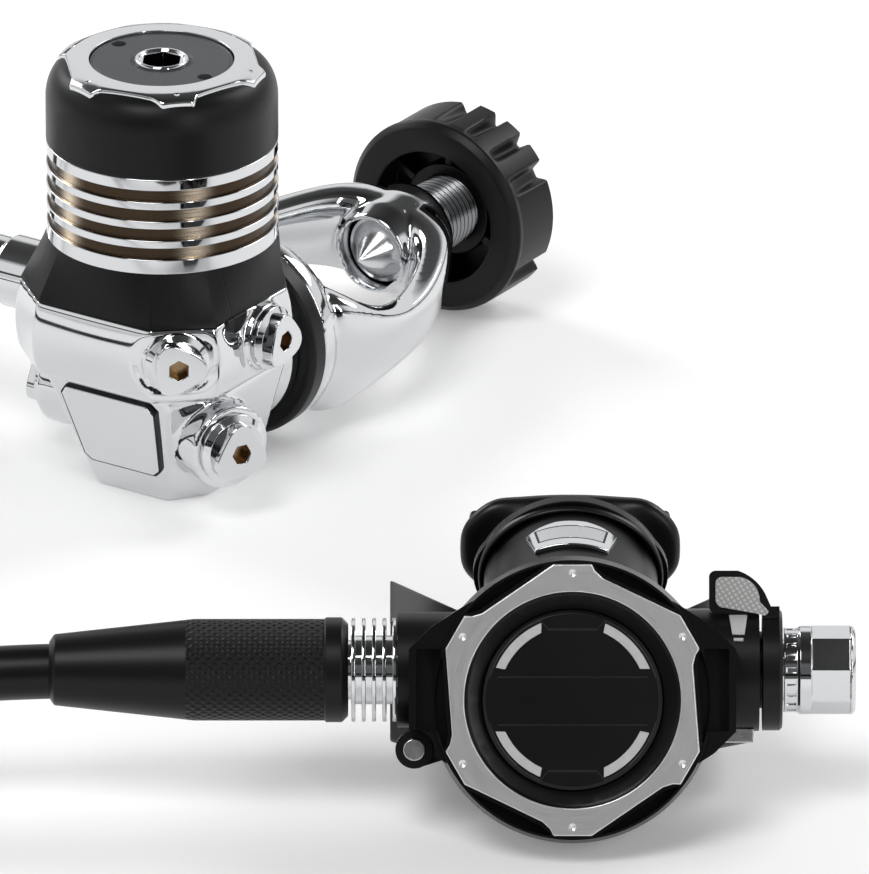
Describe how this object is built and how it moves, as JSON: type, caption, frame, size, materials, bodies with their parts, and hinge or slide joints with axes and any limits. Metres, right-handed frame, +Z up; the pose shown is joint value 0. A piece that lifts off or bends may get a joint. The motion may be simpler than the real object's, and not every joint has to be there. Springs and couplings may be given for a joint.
{
  "type": "scuba regulator set",
  "caption": "Finned yoke first stage with hand knob and a round second stage with purge cover, exhaust tee and mouthpiece, joined by a low pressure hose.",
  "frame": {"origin": "centre of the first stage's bottom face", "axes": "+Z up the first stage's cap axis, +Y along the inlet axis towards the hand knob; the second stage lies in front, turned 33.5 degrees about +Z with its cover tilted back 23.5 degrees"},
  "size_m": [0.4583, 0.3612, 0.0981],
  "materials": {
    "chrome": "polished chrome plate",
    "brass": "machined brass",
    "steel": "brushed stainless steel",
    "black_plastic": "black moulded nylon",
    "black_rubber": "black rubber",
    "grey_plastic": "dark grey nylon",
    "pale_grey": "pale grey plastic",
    "silicone": "black silicone",
    "clear_silicone": "pale silicone",
    "fins": "chrome rings with bronze grooves"
  },
  "bodies": {
    "regulator": {"first_stage_body": "chrome", "front_plate": "chrome", "body_collar": "black_plastic", "fin_cylinder": "fins", "cap_boot": "black_rubber", "cap_trim_ring": "chrome", "cap_disc": "grey_plastic", "cap_screw": "chrome", "outer_diaphragm": "silicone", "main_spring": "steel", "spring_adjuster": "brass", "main_diaphragm": "silicone", "high_pressure_spring": "steel", "high_pressure_crown": "brass", "low_pressure_plugs": "chrome", "high_pressure_plugs": "chrome", "yoke_gasket": "black_rubber", "yoke": "chrome", "yoke_retainer": "chrome", "inlet_filter": "brass", "closure_spring": "steel", "front_cover": "black_plastic", "cover_ring": "steel", "purge_spring": "steel", "case": "black_plastic", "cover_lock_pin": "steel", "exhaust_valve": "clear_silicone", "diaphragm": "clear_silicone", "diaphragm_clamp_ring": "black_plastic", "valve_tube": "chrome", "valve_orifice": "brass", "poppet_spring": "steel", "flow_scale": "pale_grey", "side_clip": "steel", "exhaust_tee": "black_rubber", "mouthpiece": "silicone", "mouthpiece_tie": "black_plastic", "tube_badge": "chrome", "hose_boot": "black_rubber", "second_stage_hose_nut": "chrome", "first_stage_hose_end": "chrome", "hose": "black_rubber"},
    "yoke_screw": {"yoke_screw": "chrome"},
    "hand_knob": {"yoke_knob": "black_rubber"},
    "closure_valve": {"closure_valve": "steel"},
    "pressure_stack": {"load_transmitter": "brass", "spring_pad": "brass", "valve_lifter": "brass", "high_pressure_poppet": "brass"},
    "purge": {"purge_button": "black_plastic", "purge_accents": "pale_grey"},
    "diaphragm_plate": {"diaphragm_plate": "steel"},
    "demand_lever": {"demand_lever": "steel"},
    "poppet": {"poppet": "black_plastic"},
    "adjustment_knob": {"adjustment_knob": "chrome"},
    "adjuster_stem": {"adjuster_stem": "brass"},
    "flow_lever": {"flow_lever": "black_plastic", "lever_pad": "pale_grey", "flow_vane": "black_plastic"}
  },
  "joints": [
    {"name": "yoke_screw_slide", "type": "slide", "parent": "regulator", "child": "yoke_screw", "axis": [0, -1, 0], "range_m": [0, 0.01]},
    {"name": "hand_knob_turn", "type": "hinge", "parent": "yoke_screw", "child": "hand_knob", "pos_m": [0, 0.11, 0.0233], "axis": [0, -1, 0], "range_deg": [0, 1440]},
    {"name": "closure_valve_slide", "type": "slide", "parent": "regulator", "child": "closure_valve", "axis": [0, -1, 0], "range_m": [0, 0.0025], "deforming": ["closure_spring"]},
    {"name": "pressure_stack_slide", "type": "slide", "parent": "regulator", "child": "pressure_stack", "axis": [0, 0, -1], "range_m": [0, 0.0006], "deforming": ["main_spring", "high_pressure_spring", "main_diaphragm", "outer_diaphragm"]},
    {"name": "purge_press", "type": "slide", "parent": "regulator", "child": "purge", "axis": [-0.5062, 0.7647, -0.3987], "range_m": [0, 0.0025], "deforming": ["purge_spring", "diaphragm"]},
    {"name": "diaphragm_plate_slide", "type": "slide", "parent": "regulator", "child": "diaphragm_plate", "axis": [-0.5062, 0.7647, -0.3987], "range_m": [0, 0.0025]},
    {"name": "demand_lever_swing", "type": "hinge", "parent": "regulator", "child": "demand_lever", "pos_m": [0.17681, -0.0932, 0.03228], "axis": [0.2201, -0.3325, -0.9171], "range_deg": [0, 10.2]},
    {"name": "poppet_slide", "type": "slide", "parent": "regulator", "child": "poppet", "axis": [0.8339, 0.5519, 0], "range_m": [0, 0.00085], "deforming": ["poppet_spring"]},
    {"name": "adjustment_knob_turn", "type": "hinge", "parent": "regulator", "child": "adjustment_knob", "pos_m": [0.16576, -0.09281, 0.02949], "axis": [-0.8339, -0.5519, 0], "range_deg": [0, 900]},
    {"name": "adjuster_stem_slide", "type": "slide", "parent": "regulator", "child": "adjuster_stem", "axis": [-0.8339, -0.5519, 0], "range_m": [0, 0.0025], "deforming": ["poppet_spring"]},
    {"name": "flow_lever_swing", "type": "hinge", "parent": "regulator", "child": "flow_lever", "pos_m": [0.16576, -0.09281, 0.02949], "axis": [0.8339, 0.5519, 0], "range_deg": [0, 26]}
  ],
  "couplings": [
    {"joint": "hand_knob_turn", "follows": "yoke_screw_slide", "rad_per_m": 2513.3},
    {"joint": "purge_press", "follows": "demand_lever_swing", "m_per_rad": 0.014043},
    {"joint": "diaphragm_plate_slide", "follows": "demand_lever_swing", "m_per_rad": 0.014043},
    {"joint": "poppet_slide", "follows": "demand_lever_swing", "m_per_rad": 0.0047746},
    {"joint": "adjuster_stem_slide", "follows": "adjustment_knob_turn", "m_per_rad": 0.00015915}
  ]
}
